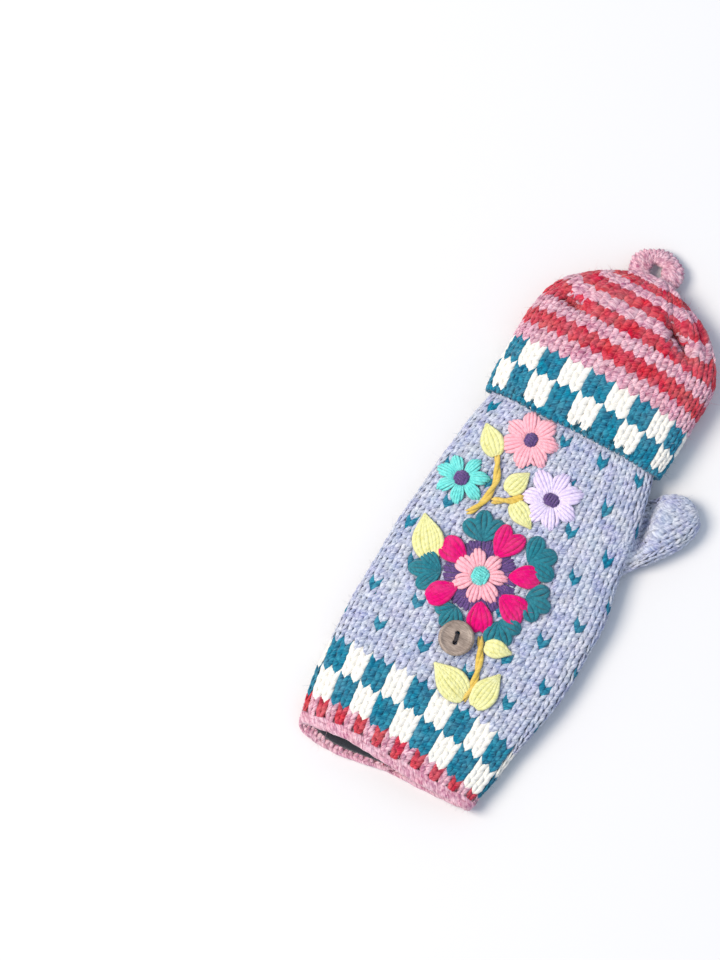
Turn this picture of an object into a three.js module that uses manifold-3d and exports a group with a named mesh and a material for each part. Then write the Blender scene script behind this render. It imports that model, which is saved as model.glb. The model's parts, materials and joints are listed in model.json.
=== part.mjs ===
// A convertible mitten for the left hand, knitted in thick wool and embroidered, lying on its palm.
// A hand tube with a thumb, and over the fingers a hood that folds back and buttons to the back of the hand.
// Millimetres. +X points to the thumb side, +Y to the fingertips, +Z up through the back of the hand.
// The origin lies on the flat underside of the palm, a little nearer the cuff than midway along.

import * as THREE from 'three';
import { mergeVertices } from 'three/addons/utils/BufferGeometryUtils.js';
import Module from 'manifold-3d';

const wasm = await Module();
wasm.setup();

// Thicknesses and clearances
const knitWall = 3;
const liningWall = 1.6;
const gap = 0.3;
const overshoot = 6;

// Every flattened tube is a superellipse across: 2 would be an ellipse, and more is squarer
const squareness = 2.5;
// The underside bulges this much past what it lies on before it is pressed flat
const pressedUnderside = 1.14;
const aroundHand = 32;
const aroundHood = 33;
const aroundThumb = 18;

// The hand tube, a row for each ring from the cuff to the finger end, which the hood covers from y 55 on
const handSections = [
  { y: -134.6, left: -53.6, right: 42.4, low: 0, high: 17.2 },
  { y: -122, left: -57.2, right: 45.6, low: 0, high: 17.4 },
  { y: -106.8, left: -59.3, right: 48.5, low: 0, high: 17.8 },
  { y: -91.6, left: -60, right: 51.5, low: 0, high: 18.2 },
  { y: -71.2, left: -60.2, right: 55.4, low: 0, high: 18.8 },
  { y: -50.9, left: -59.5, right: 57.6, low: 0, high: 19.2 },
  { y: -25.4, left: -58.5, right: 57.4, low: 0, high: 19.6 },
  { y: 0, left: -56, right: 54, low: 0, high: 19.8 },
  { y: 20.4, left: -54, right: 51.4, low: 0, high: 19.8 },
  { y: 38.7, left: -51.8, right: 48.4, low: 0, high: 20 },
  { y: 47.8, left: -49.8, right: 46.2, low: 1.9, high: 20.2 },
  { y: 54.9, left: -48, right: 44, low: 3.5, high: 20.3 },
  { y: 93.6, left: -44.5, right: 42, low: 4.2, high: 19.8 },
];

// The cuff's edge is drawn back here, so that its mouth shows: not at all below the height sidesTo, and
// fully above topFrom
const mouthScoop = { x: -28, width: 20, depth: 2.4, from: -112, to: -134.6, sidesTo: 5, topFrom: 15 };

// The lining starts just inside the cuff and ends before the fingers
const liningFrom = -131.6;
const liningTo = 37;
const liningEvery = 3;

// The thumb, along its own axis from a root inside the palm, tip last
const thumbRoot = { x: 30.6, y: -2.2 };
const thumbAngle = THREE.MathUtils.degToRad(53);
const thumbSections = [
  { along: 0, half: 11, low: 0, high: 14.6 },
  { along: 11, half: 13.2, low: 0, high: 15 },
  { along: 22, half: 14.6, low: 0, high: 15.4 },
  { along: 34, half: 15.2, low: 0, high: 15.6 },
  { along: 47, half: 15, low: 0, high: 15.4 },
  { along: 55.4, half: 13.6, low: 0.2, high: 14.6 },
  { along: 61, half: 11, low: 0.9, high: 13.2 },
  { along: 65, half: 7.4, low: 2.4, high: 11.2 },
  { along: 67, half: 3.2, low: 4.6, high: 8.8 },
];

// Its wall grows thinner from one place along it to the next, and its hollow ends before it gets too narrow
const thumbTip = { wall: 1.6, from: 46, to: 60, leastHalf: 1 };

// The hood, from its free edge to its tip
const hoodSections = [
  { y: 56, left: -51.4, right: 47.6, low: 0, high: 23.8 },
  { y: 67.2, left: -52.7, right: 49, low: 0, high: 24.7 },
  { y: 85.5, left: -52.3, right: 50.7, low: 0, high: 25.2 },
  { y: 99.7, left: -51.4, right: 51.6, low: 0, high: 25.3 },
  { y: 108.9, left: -50, right: 50.4, low: 0, high: 25 },
  { y: 117, left: -48.4, right: 47.6, low: 0, high: 24.4 },
  { y: 124.1, left: -45, right: 43.2, low: 0.2, high: 23.4 },
  { y: 130.2, left: -39, right: 37.2, low: 0.9, high: 22 },
  { y: 135.3, left: -32, right: 30, low: 2, high: 20.2 },
  { y: 140.4, left: -23.4, right: 21, low: 3.6, high: 17.8 },
  { y: 144.5, left: -14.8, right: 12.2, low: 5.2, high: 15.2 },
  { y: 147, left: -7.4, right: 4.4, low: 7.4, high: 12.6 },
];

// Its wall settles to this between two places along it
const hoodTip = { wall: 2, from: 100, to: 130 };

// The crown's gathers: folds that run to the tip, with one valley at the given angle round the hood
const gathers = { count: 11, valleyAt: 62, from: 106, to: 136, depth: 0.13 };

// The button loop, a flat crocheted ring on the hood's tip
const loop = { x: -4.5, y: 150.4, z: 6.6, radius: 8.2, strandWide: 8.6, strandThick: 5.2, droop: 9 };
const aroundLoop = 20;
const aroundStrand = 7;

// The button and its two holes, whose line is turned from +X
const button = { x: -3, y: -65.2, radius: 9, thick: 3.2, holeRadius: 1.15, holeApart: 4.8, turn: 102 };
const aroundButton = 20;
const aroundHole = 10;

// Its profile over a flat underside: how far in from the rim, and how high as a share of its thickness
const buttonProfile = [
  { inward: 1.4, up: 0 },
  { inward: 0, up: 0.45 },
  { inward: 0.5, up: 0.85 },
  { inward: 1.3, up: 1 },
  { inward: 2.4, up: 0.78 },
];
const buttonDish = 0.72;

// The thread from one hole to the middle: share of the way out to the hole, height as a share of where it
// lies on the button, and how far it bows above that
const threadRadius = 0.7;
const threadRise = [
  { out: 1, up: 0.4, bow: 0 },
  { out: 1, up: 0.8, bow: 0 },
  { out: 0.7, up: 1, bow: 0.1 },
  { out: 0, up: 1, bow: 0.2 },
];
const threadDetail = { steps: 10, curveSegments: 5 };

// Wool embroidery: how far it stands off the knitting
const petalHeight = 2.1;
const centreHeight = 2.9;
const leafHeight = 2;
const groundHeight = 0.8;
const tallCutter = 40;

// A patch is highest in its middle, and towards its edge it drops by domeDrop of its height
const domeDrop = 0.72;
const domeFullness = 3;

// Round petals: how deep the notches between them are, and how high a valley is beside a ridge
const flowerNotch = 0.26;
const starNotch = 0.42;
const petalBluntness = 0.6;
const petalValley = 0.72;

// Outlines of the other patches, as shares of their sizes
const leafShape = { width: 0.95, narrowing: 0.42 };
const lobedShape = { notch: 0.2, notchWide: 0.2, long: 1.02, width: 0.86, flare: 0.2 };
const clusterShape = { lobes: 3, swell: 0.14, rounding: 0.5 };

// Corners of the outlines
const corners = { petal: 4, centre: 12, leaf: 14, lobed: 16, ground: 24 };

// Every flower and the rosette's star have as many petals
const petals = 7;
const flowers = [
  { name: 'pink_flower', x: -17.6, y: 40.7, reach: 14.3, turn: 12, wide: 6, tall: 8, petal: 0xf0a0aa },
  { name: 'lilac_flower', x: 5.6, y: 18.3, reach: 15.6, turn: 38, wide: 9, tall: 6.2, petal: 0xd7c8eb },
  { name: 'turquoise_flower', x: -39, y: 7.9, reach: 13, turn: 25, wide: 7, tall: 8, petal: 0x3cd7cd },
];

const rosette = { x: -7.4, y: -31.9, lightReach: 14.6, turn: 18, ground: 17.5, wide: 8.4, tall: 10 };

// Two-lobed petals round the rosette, placed from its centre: angle, distance, size across
const magentaPetals = [
  { angle: 80, away: 20.6, size: 8.4 },
  { angle: 26, away: 21.6, size: 8.2 },
  { angle: -17, away: 22, size: 8.2 },
  { angle: -63, away: 20.2, size: 7.8 },
  { angle: -129, away: 20.4, size: 8.4 },
  { angle: 163, away: 18, size: 8 },
];

// Dark green leaf clusters outside them, placed the same way; wide is measured round the rosette
const leafClusters = [
  { angle: 114, away: 25.4, wide: 10.2, deep: 8.6 },
  { angle: 44, away: 31.6, wide: 12, deep: 8 },
  { angle: 2, away: 31.2, wide: 9.6, deep: 7.2 },
  { angle: -41, away: 30.4, wide: 9.4, deep: 7.2 },
  { angle: -101, away: 25, wide: 7.6, deep: 6.6 },
  { angle: 200, away: 27.6, wide: 10.4, deep: 9 },
];

// Light green leaves, each from its middle towards its tip
const leaves = [
  { x: -35.4, y: 32.2, long: 18, wide: 10.6, turn: 134 },
  { x: -13, y: 18.7, long: 15, wide: 10, turn: 69 },
  { x: -3.6, y: 4.7, long: 16.4, wide: 9.4, turn: -29 },
  { x: -40, y: -25.8, long: 24.4, wide: 16, turn: 126 },
  { x: 17.6, y: -60.2, long: 14, wide: 8, turn: 10 },
  { x: 3.6, y: -84.9, long: 24, wide: 15.4, turn: 157 },
  { x: 22.4, y: -80.6, long: 21, wide: 12.4, turn: 80 },
];

// Mustard stems of twisted wool
const stemWide = 3.6;
const stemHeight = 2.4;
const stemTaper = 0.62;
const stemRingsPerSpan = 3;
const stems = [
  {
    name: 'upper_stem',
    route: [[-29.6, 27.3], [-26, 20.9], [-23, 12.7], [-23.4, 4.1], [-26.2, -3.5], [-29, -6.5]],
  },
  { name: 'branch_stem', route: [[-20.6, 4.3], [-15.4, 7.1], [-11, 9.6], [-7, 13.8]] },
  { name: 'lower_stem', route: [[6.6, -58.4], [10, -64.6], [13, -72.2], [14.8, -81.4], [14.6, -90.6]] },
];

const colours = {
  greyWool: 0xbec3d7,
  hoodRed: 0xdc3c4b,
  pinkHeather: 0xe696af,
  fleece: 0x24242c,
  coconut: 0x7d6e64,
  darkThread: 0x2a2226,
  magenta: 0xe1146e,
  darkGreen: 0x196469,
  purple: 0x553c78,
  lightPink: 0xf0a0aa,
  turquoise: 0x3cd7cd,
  leafGreen: 0xe1e682,
  mustard: 0xcdaf3c,
};

// Solids: closed meshes that can be joined and cut
function solidOf(geometry) {
  geometry.deleteAttribute('normal');
  geometry.deleteAttribute('uv');
  const merged = mergeVertices(geometry);
  const vertProperties = new Float32Array(merged.attributes.position.array);
  const triVerts = new Uint32Array(merged.index.array);
  return new wasm.Manifold(new wasm.Mesh({ numProp: 3, vertProperties, triVerts }));
}

function geometryOf(solid) {
  const mesh = solid.getMesh();
  const geometry = new THREE.BufferGeometry();
  geometry.setAttribute('position', new THREE.BufferAttribute(new Float32Array(mesh.vertProperties), 3));
  geometry.setIndex(new THREE.BufferAttribute(new Uint32Array(mesh.triVerts), 1));
  geometry.computeVertexNormals();
  return geometry;
}

function geometryFrom(points, faces) {
  const geometry = new THREE.BufferGeometry();
  geometry.setAttribute('position', new THREE.Float32BufferAttribute(points.flat(), 3));
  geometry.setIndex(faces.flat());
  return geometry;
}

function middleOf(ring) {
  const sum = ring.reduce((total, point) => total.map((value, k) => value + point[k]), [0, 0, 0]);
  return sum.map((value) => value / ring.length);
}

// A closed skin through rings of equal count, with a fan over each end
function loft(rings) {
  const around = rings[0].length;
  const last = rings.length - 1;
  const points = [...rings.flat(), middleOf(rings[0]), middleOf(rings[last])];
  const firstMiddle = around * rings.length;
  const faces = [];
  for (let j = 0; j < around; j += 1) {
    const next = (j + 1) % around;
    for (let i = 0; i < last; i += 1) {
      const here = i * around;
      const there = here + around;
      faces.push([here + j, there + j, there + next]);
      faces.push([here + j, there + next, here + next]);
    }
    faces.push([firstMiddle, j, next]);
    faces.push([firstMiddle + 1, last * around + next, last * around + j]);
  }
  return solidOf(geometryFrom(points, faces));
}

function smooth(from, to, value) {
  return THREE.MathUtils.smoothstep((value - from) / (to - from), 0, 1);
}

function power(value, exponent) {
  return Math.sign(value) * Math.abs(value) ** exponent;
}

// One ring of a flattened tube: how far across and how high each point lies
function tubeRing(section, inset, around, narrowing = () => 1) {
  const left = section.left + inset;
  const right = section.right - inset;
  const low = section.low + inset;
  const high = section.high - inset;
  const middle = (left + right) / 2;
  const edge = (low + high) / 2;
  return Array.from({ length: around }, (_, j) => {
    const angle = (j / around) * 2 * Math.PI;
    const part = narrowing(angle);
    const across = middle + ((right - left) / 2) * part * power(Math.cos(angle), 2 / squareness);
    const rise = power(Math.sin(angle), 2 / squareness);
    const up = rise > 0
      ? edge + (high - edge) * part * rise
      : edge + (edge - low) * Math.max(-1, pressedUnderside * rise * part);
    return [across, up];
  });
}

// The section of a tube at any y, straight between its rows
function sectionAt(sections, y) {
  const after = sections.findIndex((row) => row.y > y);
  if (after <= 0) {
    return { ...(after === 0 ? sections[0] : sections[sections.length - 1]), y };
  }
  const before = sections[after - 1];
  const share = (y - before.y) / (sections[after].y - before.y);
  const mix = (key) => THREE.MathUtils.lerp(before[key], sections[after][key], share);
  return { y, left: mix('left'), right: mix('right'), low: mix('low'), high: mix('high') };
}

// The hand tube
function mouthShift(x, z, y) {
  const fade = smooth(mouthScoop.from, mouthScoop.to, y);
  const onTop = smooth(mouthScoop.sidesTo, mouthScoop.topFrom, z);
  return mouthScoop.depth * fade * onTop * Math.exp(-(((x - mouthScoop.x) / mouthScoop.width) ** 2));
}

function handRings(sections, inset) {
  return sections.map((section) => tubeRing(section, inset, aroundHand)
    .map(([x, z]) => [x, section.y + mouthShift(x, z, section.y), z]));
}

function throughBoth(sections) {
  const first = sections[0];
  const last = sections[sections.length - 1];
  return [{ ...first, y: first.y - overshoot }, ...sections, { ...last, y: last.y + overshoot }];
}

function backHeight(x, y) {
  const { left, right, low, high } = sectionAt(handSections, y);
  const across = Math.abs((x - (left + right) / 2) / ((right - left) / 2));
  const edge = (low + high) / 2;
  return edge + (high - edge) * Math.max(0, 1 - across ** squareness) ** (1 / squareness);
}

// The thumb
const thumbAxis = new THREE.Vector3(Math.cos(thumbAngle), Math.sin(thumbAngle), 0);
const thumbAcross = new THREE.Vector3(thumbAxis.y, -thumbAxis.x, 0);

function thumbSkin(inset, tipInset) {
  const rows = thumbSections.filter((row) => row.half > inset + thumbTip.leastHalf);
  return loft(rows.map((row) => {
    const section = { left: -row.half, right: row.half, low: row.low, high: row.high };
    const along = row.along - tipInset * smooth(thumbTip.from, thumbTip.to, row.along);
    return tubeRing(section, inset, aroundThumb).map(([across, up]) => {
      const point = new THREE.Vector3(thumbRoot.x, thumbRoot.y, up)
        .addScaledVector(thumbAxis, along)
        .addScaledVector(thumbAcross, across);
      return point.toArray();
    });
  }));
}

function knittedBody() {
  const outside = loft(handRings(handSections, 0)).add(thumbSkin(0, 0));
  const inside = loft(handRings(throughBoth(handSections), knitWall)).add(thumbSkin(knitWall, thumbTip.wall));
  return outside.subtract(inside);
}

function cuffLining() {
  const between = handSections.filter((row) => row.y > liningFrom && row.y < liningTo);
  const rows = between.filter((row, k) => k % liningEvery === 1);
  const sections = [sectionAt(handSections, liningFrom), ...rows, sectionAt(handSections, liningTo)];
  const outside = loft(handRings(sections, knitWall + gap));
  const inside = loft(handRings(throughBoth(sections), knitWall + gap + liningWall));
  return outside.subtract(inside).subtract(thumbSkin(knitWall, thumbTip.wall));
}

// The hood
function gatherAt(y) {
  const depth = gathers.depth * smooth(gathers.from, gathers.to, y);
  const valley = THREE.MathUtils.degToRad(gathers.valleyAt);
  return (angle) => 1 - depth * (0.5 + 0.5 * Math.cos(gathers.count * (angle - valley)));
}

function hoodSkin(inset, tipInset, startShift = 0) {
  return loft(hoodSections.map((section, k) => {
    const tipShift = tipInset * smooth(hoodTip.from, hoodTip.to, section.y);
    const y = section.y - tipShift - (k === 0 ? startShift : 0);
    return tubeRing(section, inset, aroundHood, gatherAt(section.y)).map(([x, z]) => [x, y, z]);
  }));
}

function hood() {
  return hoodSkin(0, 0).subtract(hoodSkin(knitWall, hoodTip.wall, overshoot));
}

function hoodLoop() {
  const ring = new THREE.TorusGeometry(loop.radius, loop.strandWide / 2, aroundStrand, aroundLoop);
  ring.scale(1, 1, loop.strandThick / loop.strandWide);
  ring.rotateX(-THREE.MathUtils.degToRad(loop.droop));
  ring.translate(loop.x, loop.y, loop.z);
  return solidOf(ring).subtract(hoodSkin(-gap, -gap));
}

// Button and thread
const buttonLow = backHeight(button.x, button.y) + petalHeight + 2 * gap;
const holeOffset = new THREE.Vector2(button.holeApart / 2, 0)
  .rotateAround(new THREE.Vector2(), THREE.MathUtils.degToRad(button.turn));

function shellButton() {
  const { radius, thick } = button;
  const profile = [
    new THREE.Vector2(0, 0),
    ...buttonProfile.map(({ inward, up }) => new THREE.Vector2(radius - inward, thick * up)),
    new THREE.Vector2(0, thick * buttonDish),
  ];
  const disc = new THREE.LatheGeometry(profile, aroundButton);
  disc.rotateX(Math.PI / 2);
  let solid = solidOf(disc);
  for (const side of [-1, 1]) {
    const hole = new THREE.CylinderGeometry(button.holeRadius, button.holeRadius, thick * 3, aroundHole);
    hole.rotateX(Math.PI / 2);
    hole.translate(side * holeOffset.x, side * holeOffset.y, thick / 2);
    solid = solid.subtract(solidOf(hole));
  }
  return solid;
}

function buttonThread() {
  const foot = -petalHeight;
  const top = button.thick * buttonDish + threadRadius + gap;
  const at = (share, up) => new THREE.Vector3(holeOffset.x * share, holeOffset.y * share, up);
  const rising = threadRise.map(({ out, up, bow }) => at(-out, top * up + bow));
  const falling = threadRise.slice(0, -1).reverse().map(({ out, up, bow }) => at(out, top * up + bow));
  const path = new THREE.CatmullRomCurve3([at(-1, foot), ...rising, ...falling, at(1, foot)]);
  const strand = new THREE.Shape().absarc(0, 0, threadRadius, 0, 2 * Math.PI);
  return new THREE.ExtrudeGeometry(strand, { ...threadDetail, extrudePath: path, bevelEnabled: false });
}

// Embroidery: low pads that follow the back of the hand
const padRings = [0.66, 1];

function padSolid(place, outline, steps, thickness, base = gap) {
  const turn = THREE.MathUtils.degToRad(place.turn);
  const spot = (angle, share) => {
    const [dx, dy] = outline(angle).map((value) => value * share);
    const x = place.x + dx * Math.cos(turn) - dy * Math.sin(turn);
    const y = place.y + dx * Math.sin(turn) + dy * Math.cos(turn);
    return [x, y, backHeight(x, y) + base];
  };
  const raised = ([x, y, z], lift) => [x, y, z + lift];
  const middle = spot(0, 0);
  const below = [middle];
  const above = [raised(middle, thickness(0, 0))];
  for (const share of padRings) {
    for (let j = 0; j < steps; j += 1) {
      const angle = (j / steps) * 2 * Math.PI;
      below.push(spot(angle, share));
      above.push(raised(spot(angle, share), thickness(angle, share)));
    }
  }
  const faces = [];
  const upper = below.length;
  const rim = 1 + steps * (padRings.length - 1);
  for (let j = 0; j < steps; j += 1) {
    const next = (j + 1) % steps;
    faces.push([upper, upper + 1 + j, upper + 1 + next]);
    faces.push([0, 1 + next, 1 + j]);
    for (let i = 0; i < padRings.length - 1; i += 1) {
      const here = 1 + i * steps;
      const out = here + steps;
      faces.push([upper + here + j, upper + out + j, upper + out + next]);
      faces.push([upper + here + j, upper + out + next, upper + here + next]);
      faces.push([here + j, out + next, out + j]);
      faces.push([here + j, here + next, out + next]);
    }
    faces.push([rim + j, rim + next, upper + rim + next]);
    faces.push([rim + j, upper + rim + next, upper + rim + j]);
  }
  return solidOf(geometryFrom([...below, ...above], faces));
}

// The same outline as a tall block, grown by the gap, which cuts a neighbour back
function padCutter(place, outline, steps) {
  const reaches = Array.from({ length: steps }, (_, j) => Math.hypot(...outline((j / steps) * 2 * Math.PI)));
  const growth = 1 + gap / Math.max(...reaches);
  const grown = (angle) => outline(angle).map((value) => value * growth + Math.sign(value) * (gap / 2));
  return padSolid(place, grown, steps, () => tallCutter, -tallCutter / 2);
}

const dome = (height) => (angle, share) => height * (1 - domeDrop * share ** domeFullness);

function petalRing(reach, depth) {
  return (angle) => {
    const radius = reach * (1 - depth + depth * Math.abs(Math.cos((petals * angle) / 2)) ** petalBluntness);
    return [radius * Math.cos(angle), radius * Math.sin(angle)];
  };
}

const petalThickness = (height) => (angle, share) => {
  const ridge = petalValley + (1 - petalValley) * Math.abs(Math.cos((petals * angle) / 2));
  return dome(height)(angle, share) * (share > 0 ? ridge : 1);
};

const oval = (wide, tall) => (angle) => [(wide / 2) * Math.cos(angle), (tall / 2) * Math.sin(angle)];

// Round at its base and pointed at its tip, which is on the local +X side
const leafOutline = (long, wide) => (angle) => {
  const along = Math.cos(angle);
  return [(long / 2) * along, (wide / 2) * Math.sin(angle) * (leafShape.width - leafShape.narrowing * along)];
};

// Two lobes on the outer side, drawn to a point on the inner side
const lobedOutline = (size) => (angle) => {
  const { notch, notchWide, long, width, flare } = lobedShape;
  const notched = 1 - notch * Math.exp(-((Math.sin(angle / 2) / notchWide) ** 2));
  const outward = Math.cos(angle);
  return [size * outward * notched * long, size * Math.sin(angle) * (width + flare * outward)];
};

// Three lobes on the outer side
const clusterOutline = (wide, deep) => (angle) => {
  const { lobes, swell, rounding } = clusterShape;
  const reach = 1 + swell * Math.cos(lobes * angle) * Math.max(0, Math.cos(angle)) ** rounding;
  return [deep * Math.cos(angle) * reach, wide * Math.sin(angle) * reach];
};

function aroundRosette({ angle, away }) {
  const turn = THREE.MathUtils.degToRad(angle);
  return { x: rosette.x + away * Math.cos(turn), y: rosette.y + away * Math.sin(turn), turn: angle };
}

// Cross-sections of a stem: half round, and a tall block for cutting its neighbours back
const halfRound = [0, 1, 2, 3, 4].map((j) => [Math.cos((j / 4) * Math.PI), Math.sin((j / 4) * Math.PI)]);
const block = [[1, 0], [1, 1], [-1, 1], [-1, 0]];

function ridgeSolid(route, profile, { wide, height, base, taperTo, longer }) {
  const curve = new THREE.CatmullRomCurve3(route.map(([x, y]) => new THREE.Vector3(x, y, 0)));
  const sections = stemRingsPerSpan * (route.length - 1);
  const rings = Array.from({ length: sections + 1 }, (_, i) => {
    const share = i / sections;
    const ahead = curve.getTangent(share);
    const stretch = longer * (Number(i === sections) - Number(i === 0));
    const middle = curve.getPoint(share).addScaledVector(ahead, stretch);
    const taper = taperTo + (1 - taperTo) * Math.sqrt(Math.sin(Math.PI * share));
    return profile.map(([side, up]) => {
      const x = middle.x + ahead.y * side * (wide / 2) * taper;
      const y = middle.y - ahead.x * side * (wide / 2) * taper;
      return [x, y, backHeight(x, y) + base + height * up * taper];
    });
  });
  return loft(rings);
}

function stemSolid(route) {
  const size = { wide: stemWide, height: stemHeight, base: gap, taperTo: stemTaper, longer: 0 };
  return ridgeSolid(route, halfRound, size);
}

function stemCutter(route) {
  const wide = stemWide + 2 * gap;
  const size = { wide, height: tallCutter, base: -tallCutter / 2, taperTo: 1, longer: gap };
  return ridgeSolid(route, block, size);
}

// The scene
const mitten = new THREE.Group();

function addPiece(name, geometry, color, roughness = 0.95, parent = mitten) {
  const mesh = new THREE.Mesh(geometry, new THREE.MeshStandardMaterial({ color, roughness, metalness: 0 }));
  mesh.name = name;
  parent.add(mesh);
  return mesh;
}

addPiece('knitted_body', geometryOf(knittedBody()), colours.greyWool);
addPiece('cuff_lining', geometryOf(cuffLining()), colours.fleece);
addPiece('hood', geometryOf(hood()), colours.hoodRed);
addPiece('hood_loop', geometryOf(hoodLoop()), colours.pinkHeather);

const buttonGroup = new THREE.Group();
buttonGroup.position.set(button.x, button.y, buttonLow);
mitten.add(buttonGroup);
addPiece('button', geometryOf(shellButton()), colours.coconut, 0.55, buttonGroup);
addPiece('button_thread', buttonThread(), colours.darkThread, 0.8, buttonGroup);

// Each patch is cut back from the patches laid before it, as the stitches crowd each other
const laid = [];

const cutByAll = (solid, cutters) => cutters.reduce((rest, cutter) => rest.subtract(cutter), solid);

function addPatch(name, color, place, outline, steps, thickness) {
  addPiece(name, geometryOf(cutByAll(padSolid(place, outline, steps, thickness), laid)), color);
  laid.push(padCutter(place, outline, steps));
}

for (const flower of flowers) {
  const { name, x, y, reach, wide, tall, petal } = flower;
  const middle = { x, y, turn: 0 };
  addPatch(`${name}_centre`, colours.purple, middle, oval(wide, tall), corners.centre, dome(centreHeight));
  const outline = petalRing(reach, flowerNotch);
  addPatch(`${name}_petals`, petal, flower, outline, corners.petal * petals, petalThickness(petalHeight));
}

const heart = { x: rosette.x, y: rosette.y, turn: 0 };
const lightBase = groundHeight + 2 * gap;
const starPlace = { ...heart, turn: rosette.turn };
const starOutline = petalRing(rosette.lightReach, starNotch);
magentaPetals.forEach((petal, k) => {
  const name = `magenta_petal_${k + 1}`;
  const outline = lobedOutline(petal.size);
  addPatch(name, colours.magenta, aroundRosette(petal), outline, corners.lobed, dome(petalHeight));
});

const magentaCutters = laid.slice(-magentaPetals.length);
const groundOval = oval(2 * rosette.ground, 2 * rosette.ground);
const ground = padSolid(heart, groundOval, corners.ground, () => groundHeight);
const star = padSolid(starPlace, starOutline, corners.petal * petals, petalThickness(petalHeight), lightBase);
const heartOval = oval(rosette.wide, rosette.tall);
const heartPad = padSolid(heart, heartOval, corners.centre, dome(centreHeight), lightBase);
const openStar = cutByAll(star, magentaCutters).subtract(padCutter(heart, heartOval, corners.centre));
addPiece('rosette_ground', geometryOf(cutByAll(ground, magentaCutters)), colours.purple);
addPiece('rosette_centre', geometryOf(heartPad), colours.turquoise);
addPiece('rosette_light_petals', geometryOf(openStar), colours.lightPink);
laid.push(padCutter(heart, groundOval, corners.ground));

for (const stem of stems) {
  addPiece(stem.name, geometryOf(cutByAll(stemSolid(stem.route), laid)), colours.mustard);
  laid.push(stemCutter(stem.route));
}

leaves.forEach((leaf, k) => {
  const outline = leafOutline(leaf.long, leaf.wide);
  addPatch(`leaf_${k + 1}`, colours.leafGreen, leaf, outline, corners.leaf, dome(leafHeight));
});

leafClusters.forEach((cluster, k) => {
  const name = `leaf_cluster_${k + 1}`;
  const outline = clusterOutline(cluster.wide, cluster.deep);
  addPatch(name, colours.darkGreen, aroundRosette(cluster), outline, corners.lobed, dome(petalHeight));
});

export default mitten;
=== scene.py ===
"""A convertible mitten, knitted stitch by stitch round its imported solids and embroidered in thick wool.

Distances are in millimetres until a mesh is made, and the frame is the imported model's: +X to the thumb side,
+Y to the fingertips, +Z up through the back of the hand.
"""

import json
import math
from collections import Counter, defaultdict

import bpy
import numpy as np
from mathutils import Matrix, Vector

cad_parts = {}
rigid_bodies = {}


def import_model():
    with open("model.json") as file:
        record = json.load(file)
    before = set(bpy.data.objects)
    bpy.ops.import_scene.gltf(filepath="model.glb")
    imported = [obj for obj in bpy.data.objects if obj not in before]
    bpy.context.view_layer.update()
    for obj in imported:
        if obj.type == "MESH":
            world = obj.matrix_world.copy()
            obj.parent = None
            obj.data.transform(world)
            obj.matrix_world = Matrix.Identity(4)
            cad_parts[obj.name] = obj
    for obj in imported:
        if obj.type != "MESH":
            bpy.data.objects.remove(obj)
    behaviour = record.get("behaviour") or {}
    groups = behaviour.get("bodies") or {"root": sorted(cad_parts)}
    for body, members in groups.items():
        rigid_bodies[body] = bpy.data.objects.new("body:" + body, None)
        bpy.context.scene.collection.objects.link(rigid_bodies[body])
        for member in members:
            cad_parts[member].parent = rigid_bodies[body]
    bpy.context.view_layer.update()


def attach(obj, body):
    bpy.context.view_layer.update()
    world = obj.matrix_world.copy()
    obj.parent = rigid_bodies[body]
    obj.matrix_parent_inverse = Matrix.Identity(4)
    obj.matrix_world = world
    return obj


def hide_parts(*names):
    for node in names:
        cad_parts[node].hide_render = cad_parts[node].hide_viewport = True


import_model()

MM = 0.001
rng = np.random.default_rng(11)

# Yarn: half a strand's thickness, half its width as a share of a stitch's, how far it stands out of the
# solids, and how far it stays off the floor
YARN_THICK = 1.1
YARN_SHARE = 0.215
PROUD = 0.45
RESTING = 0.03

# Stitches round each tube
STITCHES_HAND = 40
STITCHES_HOOD = 40
STITCHES_THUMB = 14

# The same section tables as the solids: y, left, right, low, high
HAND = [
    (-134.6, -53.6, 42.4, 0, 17.2),
    (-122, -57.2, 45.6, 0, 17.4),
    (-106.8, -59.3, 48.5, 0, 17.8),
    (-91.6, -60, 51.5, 0, 18.2),
    (-71.2, -60.2, 55.4, 0, 18.8),
    (-50.9, -59.5, 57.6, 0, 19.2),
    (-25.4, -58.5, 57.4, 0, 19.6),
    (0, -56, 54, 0, 19.8),
    (20.4, -54, 51.4, 0, 19.8),
    (38.7, -51.8, 48.4, 0, 20),
    (47.8, -49.8, 46.2, 1.9, 20.2),
    (54.9, -48, 44, 3.5, 20.3),
    (93.6, -44.5, 42, 4.2, 19.8),
]
HOOD = [
    (56, -51.4, 47.6, 0, 23.8),
    (67.2, -52.7, 49, 0, 24.7),
    (85.5, -52.3, 50.7, 0, 25.2),
    (99.7, -51.4, 51.6, 0, 25.3),
    (108.9, -50, 50.4, 0, 25),
    (117, -48.4, 47.6, 0, 24.4),
    (124.1, -45, 43.2, 0.2, 23.4),
    (130.2, -39, 37.2, 0.9, 22),
    (135.3, -32, 30, 2, 20.2),
    (140.4, -23.4, 21, 3.6, 17.8),
    (144.5, -14.8, 12.2, 5.2, 15.2),
    (147, -7.4, 4.4, 7.4, 12.6),
]
THUMB = [
    (0, -11, 11, 0, 14.6),
    (11, -13.2, 13.2, 0, 15),
    (22, -14.6, 14.6, 0, 15.4),
    (34, -15.2, 15.2, 0, 15.6),
    (47, -15, 15, 0, 15.4),
    (55.4, -13.6, 13.6, 0.2, 14.6),
    (61, -11, 11, 0.9, 13.2),
    (65, -7.4, 7.4, 2.4, 11.2),
    (67, -3.2, 3.2, 4.6, 8.8),
]
SQUARENESS = 2.5
PRESSED = 1.14
THUMB_ROOT = (30.6, -2.2)
THUMB_ANGLE = math.radians(53)
GATHERS = {"count": 11, "valley": math.radians(62), "from": 106, "to": 136, "depth": 0.13}
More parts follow.
